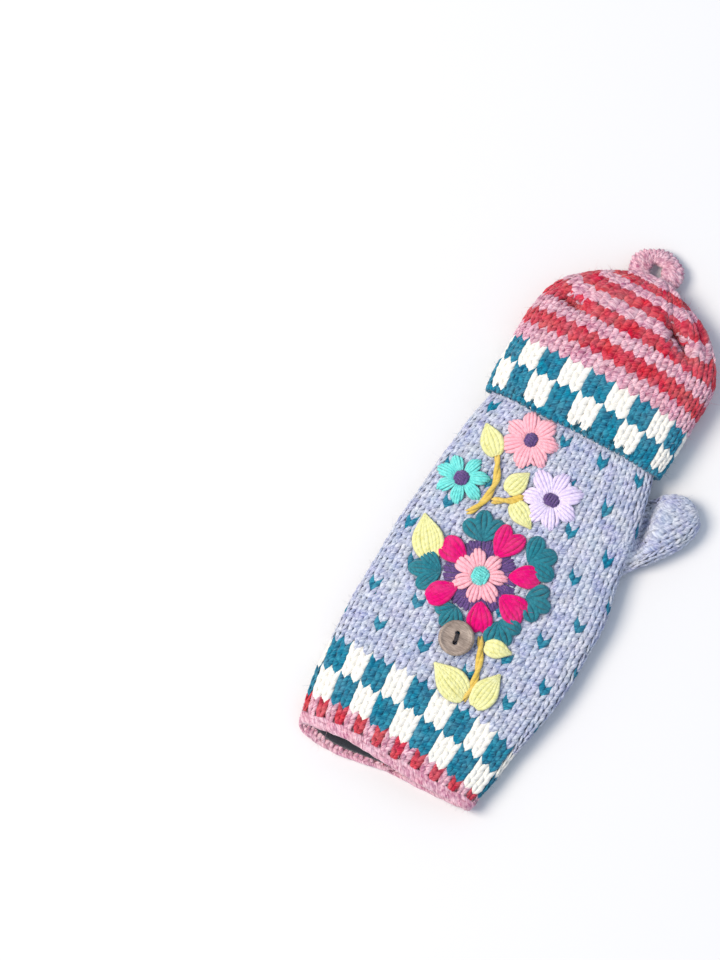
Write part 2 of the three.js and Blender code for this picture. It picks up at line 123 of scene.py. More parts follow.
LOOP = {"x": -4.5, "y": 150.4, "z": 6.6, "radius": 8.2, "wide": 8.6, "thick": 5.2, "droop": math.radians(9)}
BUTTON = {
    "x": -3, "y": -65.2, "radius": 9, "thick": 3.2,
    "hole": 1.15, "apart": 4.8, "turn": 102,
}
PETAL_HEIGHT = 2.1
GAP = 0.3


def smooth(start, end, value):
    t = np.clip((np.asarray(value, float) - start) / (end - start), 0, 1)
    return t * t * (3 - 2 * t)


def between(value, rise, fall):
    """1 between a rise and a fall, each (start, end), and 0 outside them."""
    return smooth(*rise, value) * (1 - smooth(*fall, value))


def unit(vectors):
    return vectors / np.maximum(np.linalg.norm(vectors, axis=-1, keepdims=True), 1e-9)


class Tube:
    """A flattened tube along Y, read by the share of the way round it and by y.

    Share 0 is on top at x = anchor, and it grows towards +X, under the palm and back. crowd spaces the
    stitches closer at the sides than in the middle.
    """

    STEPS = 480
    FINE = 1440

    def __init__(self, rows, anchor=0.0, crowd=0.0, narrowing=None, step=1.0):
        rows = np.array(rows, float)
        self.ys = np.arange(rows[0, 0], rows[-1, 0] + step / 2, step)
        sizes = [hermite(rows[:, 0], rows[:, k], self.ys) for k in range(1, 5)]
        left, right, low, high = [s[:, None] for s in sizes]
        angle = np.linspace(0, 2 * np.pi, self.FINE + 1)[None, :-1]
        part = np.ones_like(angle) if narrowing is None else narrowing(angle, self.ys[:, None])
        cos, sin = np.cos(angle), np.sin(angle)
        across = np.sign(cos) * np.abs(cos) ** (2 / SQUARENESS)
        rise = np.sign(sin) * np.abs(sin) ** (2 / SQUARENESS)
        middle, edge = (left + right) / 2, (low + high) / 2
        x = middle + (right - left) / 2 * part * across
        z = np.where(rise > 0, edge + (high - edge) * part * rise,
                     edge + (edge - low) * np.maximum(-1, PRESSED * rise * part))
        share = np.linspace(0, 1, self.STEPS + 1)
        spaced = share + crowd * np.sin(4 * np.pi * share) / (4 * np.pi)
        even_x = np.empty((len(self.ys), self.STEPS + 1))
        even_z = np.empty_like(even_x)
        top = slice(1, self.FINE // 2)
        for i in range(len(self.ys)):
            start = top.start + int(np.argmin(np.abs(x[i, top] - anchor)))
            order = (start - np.arange(self.FINE + 1)) % self.FINE
            xi, zi = x[i, order], z[i, order]
            length = np.concatenate([[0], np.cumsum(np.hypot(np.diff(xi), np.diff(zi)))])
            even_x[i] = softened(np.interp(spaced, length / length[-1], xi))
            even_z[i] = softened(np.interp(spaced, length / length[-1], zi))
        y = np.repeat(self.ys[:, None], self.STEPS + 1, axis=1)
        self.place = np.stack([even_x, y, even_z], axis=-1)
        along = np.gradient(self.place, axis=0)
        inner = self.place[:, :-1]
        turning = np.roll(inner, -1, axis=1) - np.roll(inner, 1, axis=1)
        turning = np.concatenate([turning, turning[:, :1]], axis=1)
        self.normal = unit(np.cross(turning, along))

    def read(self, grid, share, y):
        s = (np.asarray(share, float) % 1) * self.STEPS
        t = np.clip((np.asarray(y, float) - self.ys[0]) / (self.ys[1] - self.ys[0]), 0, len(self.ys) - 1.001)
        i, j = t.astype(int), np.minimum(s.astype(int), self.STEPS - 1)
        a, b = (t - i)[..., None], (s - j)[..., None]
        first = grid[i, j] * (1 - b) + grid[i, j + 1] * b
        second = grid[i + 1, j] * (1 - b) + grid[i + 1, j + 1] * b
        return first * (1 - a) + second * a

    def point(self, share, y):
        place = self.read(self.place, share, y)
        place[..., 1] = y
        return place

    def up(self, share, y):
        return unit(self.read(self.normal, share, y))


def softened(ring):
    """Each point of a ring averaged with two neighbours on each side. Its last point repeats its first."""
    longer = np.concatenate([ring[-3:-1], ring, ring[1:3]])
    return np.convolve(longer, np.ones(5) / 5, "valid")


def hermite(x, y, at):
    """A smooth curve through the rows of a table that never bulges past them."""
    slope = np.diff(y) / np.diff(x)
    tangent = np.concatenate([[slope[0]], (slope[1:] + slope[:-1]) / 2, [slope[-1]]])
    flat = slope[1:] * slope[:-1] <= 0
    tangent[1:-1][flat] = 0
    k = np.clip(np.searchsorted(x, at) - 1, 0, len(x) - 2)
    width = x[k + 1] - x[k]
    t = np.clip((at - x[k]) / width, 0, 1)
    return ((1 + 2 * t) * (1 - t) ** 2 * y[k] + t * (1 - t) ** 2 * width * tangent[k]
            + t * t * (3 - 2 * t) * y[k + 1] + t * t * (t - 1) * width * tangent[k + 1])


def gather_part(angle, y):
    """The share of its size that the hood's crown keeps in its gathers."""
    depth = GATHERS["depth"] * smooth(GATHERS["from"], GATHERS["to"], y)
    return 1 - depth * (0.5 + 0.5 * np.cos(GATHERS["count"] * (angle - GATHERS["valley"])))


hand_tube = Tube(HAND, crowd=0.06)
hood_tube = Tube(HOOD, anchor=-1.0, crowd=0.2, narrowing=gather_part, step=0.5)
thumb_tube = Tube(THUMB, step=0.5)


# Materials
def material(name, nodes_of):
    made = bpy.data.materials.new(name)
    made.use_nodes = True
    nodes_of(made.node_tree, made.node_tree.nodes["Principled BSDF"])
    return made


def settings(made, values):
    """Gives a node's inputs their values, each a number, a colour or another node's output."""
    for key, value in values.items():
        if isinstance(value, bpy.types.NodeSocket):
            made.id_data.links.new(value, made.inputs[key])
        else:
            made.inputs[key].default_value = value


def node(tree, kind, **values):
    made = tree.nodes.new(kind)
    for key, value in values.items():
        if key in made.inputs:
            settings(made, {key: value})
        else:
            setattr(made, key, value)
    return made


def linear(rgb):
    """A colour picked on screen, as the shader wants it."""
    values = [c / 255 for c in rgb]
    return [c / 12.92 if c <= 0.04045 else ((c + 0.055) / 1.055) ** 2.4 for c in values] + [1]


def maths(tree, operation, *values):
    made = node(tree, "ShaderNodeMath", operation=operation)
    settings(made, dict(enumerate(values)))
    return made.outputs[0]


def noise(tree, place, scale, detail, roughness=0.5):
    """A noise texture over the places that a socket gives."""
    made = node(tree, "ShaderNodeTexNoise", Vector=place, Scale=scale, Detail=detail, Roughness=roughness)
    return made.outputs


def ramp(tree, tone, dark, light, start=0.0, end=1.0):
    """A colour that runs from dark to light as the tone goes from start to end."""
    made = node(tree, "ShaderNodeValToRGB", Fac=tone)
    low, high = made.color_ramp.elements
    low.position = start
    low.color = linear(dark)
    high.position = end
    high.color = linear(light)
    return made.outputs["Color"]


def bump(tree, height, strength, distance):
    return node(tree, "ShaderNodeBump", Height=height, Strength=strength, Distance=distance).outputs["Normal"]


# Turns of the yarn's plies in a millimetre, how its fibres stretch along it, and the tone between its shades
TWIST = 0.17
FIBRE_STRETCH = 0.34
MIDDLE_TONE = 0.7

# How far the dye strays at a drift of 1: a node's input, a noise channel, its swing and its middle
DYE = (("Hue", "Red", 0.1, 0.5), ("Saturation", "Green", 1.8, 1.0))


def wool(name, light, dark, blend=0.14, painted_shade=0.45, drift=0.25):
    """Fuzzy spun wool. Two shades are mixed in fibres that wind round the yarn, whose UV is (turn, mm along).

    blend is half the width of the step between the shades, painted_shade is how much darker the yarn is
    painted underneath, a painted shade where it dips between its neighbours, and drift is how far the dye
    strays from place to place.
    """

    def build(tree, shader):
        place = node(tree, "ShaderNodeTexCoord").outputs
        split = node(tree, "ShaderNodeSeparateXYZ", Vector=place["UV"]).outputs
        turn, along = split["X"], split["Y"]
        angle = maths(tree, "MULTIPLY", maths(tree, "MULTIPLY_ADD", along, TWIST, turn), 2 * math.pi)
        round_yarn = node(tree, "ShaderNodeCombineXYZ")
        settings(round_yarn, {
            "X": maths(tree, "COSINE", angle),
            "Y": maths(tree, "SINE", angle),
            "Z": maths(tree, "MULTIPLY", along, FIBRE_STRETCH),
        })
        fibres = noise(tree, round_yarn.outputs[0], 1.5, 4.0, 0.65)["Fac"]
        broad = noise(tree, place["Object"], 300.0, 2.0)["Fac"]
        ply = maths(tree, "SINE", maths(tree, "MULTIPLY", angle, 2))
        tone = maths(tree, "MULTIPLY_ADD", ply, 0.03, maths(tree, "MULTIPLY_ADD", broad, 0.4, fibres))
        yarn = ramp(tree, tone, dark, light, MIDDLE_TONE - blend, MIDDLE_TONE + blend)
        stray = noise(tree, place["Object"], 140.0, 2.0)["Color"]
        channels = node(tree, "ShaderNodeSeparateColor", Color=stray).outputs
        dyed = node(tree, "ShaderNodeHueSaturation", Color=yarn)
        for socket, channel, swing, middle in DYE:
            swing = swing * drift
            strayed = maths(tree, "MULTIPLY_ADD", channels[channel], swing, middle - swing / 2)
            settings(dyed, {socket: strayed})
        # Painted shade: the yarn's underside, where it dips between its neighbours, is painted darker by the
        # turn round it
        top = maths(tree, "SINE", maths(tree, "MULTIPLY", turn, 2 * math.pi))
        shade = node(tree, "ShaderNodeMapRange", interpolation_type="SMOOTHSTEP", Value=top)
        settings(shade, {"From Min": -0.7, "From Max": 0.55, "To Min": 1 - painted_shade, "To Max": 1.0})
        shaded = node(tree, "ShaderNodeVectorMath", operation="SCALE", Vector=dyed.outputs["Color"])
        settings(shaded, {"Scale": shade.outputs["Result"]})
        settings(shader, {
            "Base Color": shaded.outputs["Vector"],
            "Normal": bump(tree, maths(tree, "MULTIPLY_ADD", ply, 0.22, fibres), 0.8, 0.00045),
            "Roughness": 0.92,
            "Specular IOR Level": 0.15,
            "Sheen Weight": 0.3,
            "Sheen Roughness": 0.45,
        })

    return material(name, build)


def fleece(tree, shader):
    """Napped fleece, near black."""
    place = node(tree, "ShaderNodeTexCoord").outputs["Object"]
    nap = noise(tree, place, 900.0, 4.0, 0.75)["Fac"]
    colour = ramp(tree, nap, (14, 15, 20), (58, 60, 72))
    settings(shader, {"Base Color": colour, "Normal": bump(tree, nap, 0.8, 0.0008)})
    settings(shader, {"Roughness": 0.95, "Sheen Weight": 0.3})


def coconut(tree, shader):
    """Ground shell: fine brown fibres running one way, with paler streaks and a soft polish."""
    place = node(tree, "ShaderNodeTexCoord").outputs["Object"]
    stretch = node(tree, "ShaderNodeMapping", Vector=place, Scale=(260, 2400, 900), Rotation=(0, 0, 0.6))
    grain = noise(tree, stretch.outputs["Vector"], 1.0, 4.0, 0.6)["Fac"]
    tone = maths(tree, "MULTIPLY_ADD", noise(tree, place, 160.0, 2.0)["Fac"], 0.5, grain)
    rough = node(tree, "ShaderNodeMapRange", Value=grain)
    settings(rough, {"To Min": 0.3, "To Max": 0.5})
    colour = ramp(tree, tone, (102, 86, 76), (178, 160, 148), 0.5)
    settings(shader, {"Base Color": colour, "Normal": bump(tree, grain, 0.25, 0.0002)})
    settings(shader, {"Roughness": rough.outputs["Result"]})


def dark_thread(tree, shader):
    """Dark sewing thread, twisted."""
    place = node(tree, "ShaderNodeTexCoord").outputs["Object"]
    strand = node(tree, "ShaderNodeTexWave", Vector=place, Scale=900.0, Distortion=2.0)
    colour = ramp(tree, strand.outputs["Fac"], (24, 20, 24), (58, 50, 54))
    settings(shader, {"Base Color": colour, "Roughness": 0.6})


# Each wool: its material's name, a light and a dark shade, and how it is spun, with the painted shade on its
# underside. Embroidery wool is smoother
SATIN = (0.24, 0.6, 0.08)
SHADES = {
    "grey": ("grey_heather", (215, 219, 234), (148, 155, 184), 0.13, 0.68, 1.0),
    "teal": ("teal", (56, 146, 172), (14, 90, 122), 0.13, 0.55),
    "white": ("white", (250, 248, 243), (232, 227, 217), 0.2, 0.25),
    "red": ("red", (222, 86, 98), (160, 32, 56)),
    "pink": ("pink_heather", (242, 198, 210), (172, 106, 134), 0.14, 0.55, 0.4),
    "light_pink": ("petal_pink", (255, 198, 208), (250, 168, 184), *SATIN),
    "lilac": ("lilac", (242, 230, 253), (222, 204, 242), *SATIN),
    "turquoise": ("turquoise", (142, 238, 230), (88, 208, 206), *SATIN),
    "purple": ("purple", (122, 92, 154), (72, 53, 102), *SATIN),
    "magenta": ("magenta", (238, 26, 130), (202, 8, 100), *SATIN),
    "dark_green": ("dark_green", (56, 140, 154), (24, 100, 118), *SATIN),
    "leaf_green": ("leaf_green", (242, 242, 188), (218, 214, 134), *SATIN),
    "mustard": ("mustard", (238, 208, 116), (210, 174, 72), *SATIN),
}
WOOLS = {colour: (wool(*shades), f"{colour}_wool") for colour, shades in SHADES.items()}


# Meshes from arrays
def placed(name, data):
    """A new object of the scene that holds the data."""
    made = bpy.data.objects.new(name, data)
    bpy.context.scene.collection.objects.link(made)
    return made


def mesh_piece(name, points, faces, surface, slot, uvs=None, replaces=()):
    mesh = bpy.data.meshes.new(name)
    points = np.asarray(points, float) * MM
    faces = np.asarray(faces)
    corners = faces.shape[1]
    mesh.vertices.add(len(points))
    mesh.vertices.foreach_set("co", points.ravel())
    mesh.loops.add(faces.size)
    mesh.loops.foreach_set("vertex_index", faces.ravel().astype(np.int32))
    mesh.polygons.add(len(faces))
    mesh.polygons.foreach_set("loop_start", np.arange(0, faces.size, corners, dtype=np.int32))
    mesh.polygons.foreach_set("use_smooth", np.ones(len(faces), bool))
    if uvs is not None:
        layer = mesh.uv_layers.new(name="UVMap")
        layer.data.foreach_set("uv", np.asarray(uvs, float).ravel())
    mesh.update(calc_edges=True)
    mesh.validate()
    mesh.materials.append(surface)
    made = placed(name, mesh)
    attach(made, "root")
    if replaces:
        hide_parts(*replaces)
    return made


def wool_piece(name, part, colour, replaces=()):
    """A piece of one wool from its (points, faces, uvs)."""
    points, faces, uvs = part
    mesh_piece(name, points, faces, *WOOLS[colour], uvs, replaces)


def ring_faces(rows, around):
    """Quads between closed rings of points, as (row, place, 4)."""
    here = np.arange(rows - 1)[:, None] * around
    j = np.arange(around)[None, :]
    nxt = (j + 1) % around
    there = here + around
    return np.stack([here + j, here + nxt, there + nxt, there + j], -1)


# A strand's twist starts anywhere in this length
YARN_START = 500


def tubes(paths, normals, wide, thick, around):
    """Yarn along many paths at once. paths and normals are (strand, place, 3), wide and thick half sizes."""
    count, places = paths.shape[:2]
    ahead = unit(np.gradient(paths, axis=1))
    side = unit(np.cross(ahead, normals))
    up = np.cross(side, ahead)
    wide = np.broadcast_to(wide, (count, places))[:, :, None, None]
    thick = np.broadcast_to(thick, (count, places))[:, :, None, None]
    angle = np.arange(around) / around * 2 * np.pi
    cos, sin = np.cos(angle)[None, None, :, None], np.sin(angle)[None, None, :, None]
    points = paths[:, :, None] + side[:, :, None] * wide * cos + up[:, :, None] * thick * sin
    base = (np.arange(count) * places * around)[:, None, None, None]
    faces = (base + ring_faces(places, around)).reshape(-1, 4)
    steps = np.linalg.norm(np.diff(paths, axis=1), axis=-1)
    length = np.concatenate([np.zeros((count, 1)), np.cumsum(steps, axis=1)], 1)
    length = length + rng.uniform(0, YARN_START, (count, 1))
    shape = (count, places - 1, around)
    u0 = np.broadcast_to(np.arange(around) / around, shape)
    v0 = np.broadcast_to(length[:, :-1, None], shape)
    v1 = np.broadcast_to(length[:, 1:, None], shape)
    u1 = u0 + 1 / around
    uvs = np.stack([u0, v0, u1, v0, u1, v1, u0, v1], axis=-1).reshape(-1, 4, 2)
    return points.reshape(-1, 3), faces, uvs


def joined(parts):
    """Several (points, faces, uvs) as one."""
    points, faces, uvs, start = [], [], [], 0
    for p, f, t in parts:
        points.append(p)
        faces.append(f + start)
        uvs.append(t)
        start += len(p)
    return np.concatenate(points), np.concatenate(faces), np.concatenate(uvs)


# One stitch runs from -pi to pi. It leans sideways and reaches along its column, in stitches and rows. It
# curls up, bends forward and dives at its feet, in mm
LEAN = 0.225
REACH = 1.06
CURL = 0.72
FORWARD = 0.42
DIVE = 0.8
FEET = (2.5, np.pi)

# How uneven the stitches are: their places, in stitches, the spread of the rest, and its part in each size
UNEVEN = {"place": 0.025, "spread": 0.7, "lean": 0.06, "reach": 0.04, "swell": 0.05, "lumps": 0.05}
TAPER = 0.1


def stitches(surface, cells, plump, around=7, along=14):
    """Stocking stitches on a surface, one in each (column, row) of cells.

    surface(column, row) gives points and normals.
    """
    cells = np.asarray(cells, float)
    cells = cells + rng.normal(0, UNEVEN["place"], cells.shape)
    s = np.linspace(-np.pi, np.pi, along + 1)[None, :]
    jitter = rng.normal(0, UNEVEN["spread"], (len(cells), 3, 1))
    lean = LEAN * np.sin(2 * s) * (1 + UNEVEN["lean"] * jitter[:, 0])
    column = cells[:, :1] + 0.5 + s / (2 * np.pi) + lean
    reach = REACH * (1 + UNEVEN["reach"] * jitter[:, 1])
    row = cells[:, 1:] + 0.5 + reach * np.cos(s)
    lift = -CURL * np.cos(2 * s) - FORWARD * np.cos(s) - DIVE * smooth(*FEET, np.abs(s))
    points, normals = surface(column, row)
    thick = YARN_THICK * plump
    points = points + normals * (lift + PROUD - CURL - thick)[..., None]
    lumps = rng.normal(0, UNEVEN["lumps"], (len(cells), along + 1))
    swell = 1 + UNEVEN["swell"] * jitter[:, 2] - TAPER * np.cos(2 * s) + lumps
    spacing = np.linalg.norm(points[:, -1] - points[:, 0], axis=-1)[:, None]
    wide = spacing * YARN_SHARE * plump * swell
    return tubes(points, normals, wide, np.minimum(thick, wide) * swell, around)


# Bands of the knitting from the cuff up: name, rows, and the y where it ends
HAND_BANDS = [
    ("rim", 1, -131),
    ("dashes", 2, -121),
    ("lower_check", 3, -105.6),
    ("upper_check", 3, -90.6),
    ("grey", 34, 59.3),
]
HOOD_BANDS = [("lower_check", 3, 73), ("upper_check", 3, 86)]
STRIPES_TO = [95, 103.7, 111.3, 118.5, 125, 132, 137.2, 142, 147]
HOOD_BANDS += [("red" if k % 2 else "pink", 2, to) for k, to in enumerate(STRIPES_TO)]
HOOD_FIRST = 57.6
TURNED_ROW = 3.8


def row_edges(start, bands):
    """Where each row starts and ends, and what each row is: its band and its number there."""
    edges, names = [start], []
    for name, rows, to in bands:
        edges += list(np.linspace(edges[-1], to, rows + 1)[1:])
        names += [(name, k) for k in range(rows)]
    return np.array(edges), names


hand_edges, hand_rows = row_edges(HAND[0][0], HAND_BANDS)
hood_edges, hood_rows = row_edges(HOOD_FIRST, HOOD_BANDS)


def along_edges(edges, row):
    """y at a row number that may run past both ends of the table."""
    last = edges[-1] - edges[-2]
    inside = np.interp(row, np.arange(len(edges)), edges)
    return inside + np.minimum(row, 0) * TURNED_ROW + np.maximum(row - len(edges) + 1, 0) * last


# The rows of the hand sag to both sides of x, less on the left
SAG = {"x": -30, "bend": 0.0014, "left": 0.6, "rise": (-134, -118), "fall": (10, 50)}

# The cuff's mouth is drawn back on top and reaches out below, each round its own x and at its own heights
MOUTH = {"x": -28, "width": 20, "back": 2.4, "heights": (5, 15), "fade": (-134.6, -112)}
LIP = {"x": -36, "width": 27, "out": 4.6, "heights": (3, 9)}


def hand_drop(x, y):
    """How far the rows sag towards the sides, most on the thumb side."""
    on = between(y, SAG["rise"], SAG["fall"])
    return SAG["bend"] * (x - SAG["x"]) ** 2 * np.where(x > SAG["x"], 1, SAG["left"]) * on


def bell(x, shape):
    return np.exp(-(((x - shape["x"]) / shape["width"]) ** 2))


def at_mouth(wall):
    """Points of the hand, moved where they are near the cuff's mouth."""
    x, y, z = np.moveaxis(wall, -1, 0)
    raised = MOUTH["back"] * smooth(*MOUTH["heights"], z) * bell(x, MOUTH)
    lowered = LIP["out"] * (1 - smooth(*LIP["heights"], z)) * bell(x, LIP)
    moved = wall.copy()
    moved[..., 1] += (raised - lowered) * (1 - smooth(*MOUTH["fade"], y))
    return moved


# The knitting's own thickness where it turns in, and how far the walls of hand and hood swell
WALL = 3.4
HAND_PUFF = 0.35
HOOD_PUFF = 0.3


def wrapped(tube, share, y, start):
    """Point and normal of a tube whose wall turns in round its mouth where y runs past start."""
    over = np.maximum(start - y, 0)
    arc = math.pi * WALL / 2
    turn = np.clip(over / arc, 0, 1) * math.pi
    inside = np.maximum(over - arc, 0)
    at = np.maximum(y, start) + inside
    place = tube.point(share, at)
    normal = tube.up(share, at)
    out = np.zeros_like(normal)
    out[..., 1] = -1
    cos, sin = np.cos(turn)[..., None], np.sin(turn)[..., None]
    place = place + (normal * (cos - 1) + out * sin) * WALL / 2
    return place, normal * cos + out * sin


def puff(place, normal, size):
    """Slow swells of a soft wall."""
    x, y = place[..., 0], place[..., 1]
    broad = np.sin(x * 0.11 + 1.3 * np.sin(y * 0.05)) * np.sin(y * 0.083 + 0.7)
    wave = broad + 0.5 * np.sin(x * 0.21 - y * 0.13)
    return place + normal * (size * wave)[..., None]


def hand_surface(column, row):
    share = column / STITCHES_HAND
    y = along_edges(hand_edges, row) + 0.35 * np.sin(column * 0.9 + row * 0.37)
    x = hand_tube.point(share, np.maximum(y, hand_edges[0]))[..., 0]
    y = y - hand_drop(x, y)
    place, normal = wrapped(hand_tube, share, y, hand_edges[0])
    place = puff(at_mouth(place), normal, HAND_PUFF)
    place[..., 2] = np.maximum(place[..., 2], 0.0)
    return place, normal


# Thick strands round the mouth of the cuff: row, half thickness. They are pressed a little flat on the floor
RIM_CORDS = [(0.62, 1.3), (0.1, 1.45), (-0.42, 1.5), (-0.94, 1.4)]
RIM_PLACES = 520
RIM_PRESSED = 0.8


def rim_cords():
    column = np.linspace(-0.5, 0.5, RIM_PLACES)[None, :] * STITCHES_HAND
    parts = []
    for k, (row, half) in enumerate(RIM_CORDS):
        sway = 0.08 * np.sin(column * 2.9 + k * 2.1) + 0.06 * np.sin(column * 1.3 + k)
        place, normal = hand_surface(column, row + sway)
        place = place + normal * (PROUD - half)
        swell = half * (1 + 0.1 * np.sin(column * 2.9 + k * 2.1 + 1.2) + 0.05 * np.sin(column * 5.3))
        place[..., 2] = np.maximum(place[..., 2], RIM_PRESSED * swell)
        parts.append(tubes(place, normal, swell, swell * 0.9, 9))
    return joined(parts)


CREASES = [
    {"x": -32.5, "y": 113.5, "turn": math.radians(-10), "long": 7, "wide": 3.0, "depth": 9.2},
    {"x": 22.5, "y": 122, "turn": math.radians(-37), "long": 9.5, "wide": 3.0, "depth": 10.5},
]
CREASED_HEIGHTS = (8, 14)


def creased(place):
    """The hood's crown with its two creases pressed into the back."""
    sunk = place.copy()
    for crease in CREASES:
        x, y = place[..., 0] - crease["x"], place[..., 1] - crease["y"]
        cos, sin = math.cos(crease["turn"]), math.sin(crease["turn"])
        along, across = x * cos + y * sin, y * cos - x * sin
        dip = np.exp(-(along / crease["long"]) ** 2 - (across / crease["wide"]) ** 2)
        sunk[..., 2] -= crease["depth"] * dip * smooth(*CREASED_HEIGHTS, place[..., 2])
    return sunk


# The hood's rows sag right of x, and its crown's stripes turn up towards both edges
HOOD_SAG = {"x": -12, "bend": 0.0013, "rise": (58, 74), "fall": (118, 132)}
HOOD_TURN = {"x": -1, "up": 8, "power": 5, "rise": (106, 122), "fall": (126, 146)}


def hood_surface(count):
    """The surface of the hood where count stitches go round it."""

    def surface(column, row):
        share = column / count
        y = along_edges(hood_edges, row) + 0.3 * np.sin(column * 0.8 + row * 0.5)
        at = np.clip(y, HOOD[0][0], hood_edges[-1])
        x = hood_tube.point(share, at)[..., 0]
        sag = HOOD_SAG["bend"] * np.maximum(x - HOOD_SAG["x"], 0) ** 2
        half = np.interp(at, [r[0] for r in HOOD], [(r[2] - r[1]) / 2 for r in HOOD])
        aside = np.abs(np.clip((x - HOOD_TURN["x"]) / half, -1, 1))
        turned_up = HOOD_TURN["up"] * aside ** HOOD_TURN["power"]
        y = (y - sag * between(y, HOOD_SAG["rise"], HOOD_SAG["fall"])
             + turned_up * between(y, HOOD_TURN["rise"], HOOD_TURN["fall"]))
        y = np.minimum(y, HOOD[-1][0])
        place, normal = wrapped(hood_tube, share, y, HOOD[0][0])
        place = creased(puff(place, normal, HOOD_PUFF))
        place[..., 2] = np.maximum(place[..., 2], 0.0)
        return place, normal

    return surface


# The thumb's fold beside the hand's edge: from "least" of its depth it grows to all of it between two y
THUMB_CREASE = {"beside": 2.2, "wide": 3.9, "depth": 13, "least": 0.45, "full": (12, 30), "heights": (5, 14)}
THUMB_FLOOR = 3.4
THUMB_PITCH = 4.4

thumb_ahead = np.array([math.cos(THUMB_ANGLE), math.sin(THUMB_ANGLE), 0])
thumb_side = np.array([thumb_ahead[1], -thumb_ahead[0], 0])


def thumb_frame(place):
    flat = place[..., :1] * thumb_side + place[..., 1:2] * thumb_ahead
    flat[..., 2] = place[..., 2]
    return flat


def thumb_place(wall):
    """Points of the thumb in the hand's frame, pressed down where it comes out from under the hand's edge."""
    moved = thumb_frame(wall)
    moved[..., 0] += THUMB_ROOT[0]
    moved[..., 1] += THUMB_ROOT[1]
    x, y, z = moved[..., 0], moved[..., 1], moved[..., 2]
    edge = np.interp(y, [row[0] for row in HAND], [row[2] for row in HAND])
    beside = np.exp(-(((x - edge - THUMB_CREASE["beside"]) / THUMB_CREASE["wide"]) ** 2))
    least = THUMB_CREASE["least"]
    most = least + (1 - least) * smooth(*THUMB_CREASE["full"], y)
    sunk = z - THUMB_CREASE["depth"] * beside * most * smooth(*THUMB_CREASE["heights"], z)
    moved[..., 2] = np.maximum(sunk, np.minimum(z, THUMB_FLOOR))
    return moved


def thumb_surface(column, row):
    share = column / STITCHES_THUMB
    along = np.clip(row * THUMB_PITCH, 0, THUMB[-1][0])
    return thumb_place(thumb_tube.point(share, along)), thumb_frame(thumb_tube.up(share, along))


# The hood's checks start so many stitches along
HOOD_CHECKS = 3

# Dots on the grey: one row in each DOT_EVERY, from DOT_START, and one stitch in each DOT_APART
DOT_START = 3
DOT_EVERY = 4
DOT_APART = 4


def check_colour(column, name):
    """Checks two stitches wide, in teal and white, which change places from one band to the other."""
    odd = math.floor(column / 2) % 2 == 1
    return "teal" if odd == (name == "upper_check") else "white"


def hand_colour(column, row):
    name, k = hand_rows[row] if row >= 0 else ("rim", 0)
    if name == "rim":
        return "pink"
    if name == "dashes":
        return "red" if column % 2 == 1 else "pink"
    if name.endswith("check"):
        return check_colour(column, name)
    if k % DOT_EVERY == DOT_START:
        shift = 1 if (k // DOT_EVERY) % 2 == 0 else 3
        if column % DOT_APART == shift:
            return "teal"
    return "grey"


def hood_colour(column, row):
    name, k = hood_rows[row] if row >= 0 else ("teal", 0)
    return check_colour(column + HOOD_CHECKS, name) if name.endswith("check") else name


PALM = (0.27, 0.73)


def on_palm(column, count):
    return PALM[0] < (column + 0.5) / count % 1 < PALM[1]


# How full each wool is, and the rings and sides of a stitch. The palm's, which hardly shows, is coarser
PLUMP = {"grey": 1.0, "white": 1.36, "teal": 1.24, "red": 1.12, "pink": 1.12}
FINENESS = {"palm": (6, 10), "back": (7, 14)}
knit_made = defaultdict(list)
knit_cells = Counter()


def knit(prefix, surface, count, first, last, colour_of):
    cells = defaultdict(list)
    for row in range(first, last):
        for column in range(-count // 2, count // 2):
            side = "palm" if on_palm(column, count) else "back"
            cells[side, colour_of(column, row)].append((column, row))
    for (side, colour), chosen in sorted(cells.items()):
        knit_made[prefix, side, colour].append(stitches(surface, chosen, PLUMP[colour], *FINENESS[side]))
        knit_cells[prefix, side, colour] += len(chosen)


# The hood narrows towards its tip: stitches round it, and the rows from and to which they go
crown, tip = 12, len(hood_rows) - 2
HOOD_ROUNDS = [
    (STITCHES_HOOD, -2, crown),
    (32, crown, crown + 2),
    (24, crown + 2, tip),
    (12, tip, len(hood_rows)),
]

knit("hand", hand_surface, STITCHES_HAND, -2, -1, hand_colour)
knit("hand", hand_surface, STITCHES_HAND, 1, len(hand_rows), hand_colour)
knit_made["hand", "back", "pink"].append(rim_cords())
for count, first, last in HOOD_ROUNDS:
    knit("hood", hood_surface(count), count, first, last, hood_colour)
knit("thumb", thumb_surface, STITCHES_THUMB, 3, 15, lambda column, row: "grey")

main_of = {
    ("hand", "back", "grey"): ["knitted_body"],
    ("hood", "back", "red"): ["hood"],
}
for key, parts in sorted(knit_made.items()):
    points, faces, uvs = joined(parts)
    points[:, 2] = np.maximum(points[:, 2], RESTING)
    prefix, side, colour = key
    wool_piece(f"{prefix}_{side}_{colour}_stitches", (points, faces, uvs), colour, main_of.get(key, ()))


# Walls behind the stitches, and the lining
def shell(tube, name, surface, slot, span, insets, place_of, steps=(96, 60), skip=None, replaces=()):
    """A closed double wall that follows a tube, between two depths under its skin."""
    around, rows = steps
    share = np.arange(around)[None, :] / around
    y = np.linspace(span[0], span[1], rows)[:, None]
    share, y = np.broadcast_arrays(share, y)
    place, normal = tube.point(share, y), tube.up(share, y)
    walls = [place_of(place - normal * inset) for inset in insets]
    outer = ring_faces(rows, around)
    outer = outer.reshape(-1, 4) if skip is None else outer[~skip(walls[0][:-1])]
    size = rows * around
    inner = outer[:, ::-1] + size
    first = np.arange(around)
    beside = (first + 1) % around
    last = (rows - 1) * around
    ends = [
        np.stack([first, first + size, beside + size, beside], -1),
        np.stack([first, beside, beside + size, first + size], -1) + last,
    ]
    points = np.concatenate([wall.reshape(-1, 3) for wall in walls])
    mesh_piece(name, points, np.concatenate([outer, inner, *ends]), surface, slot, replaces=replaces)
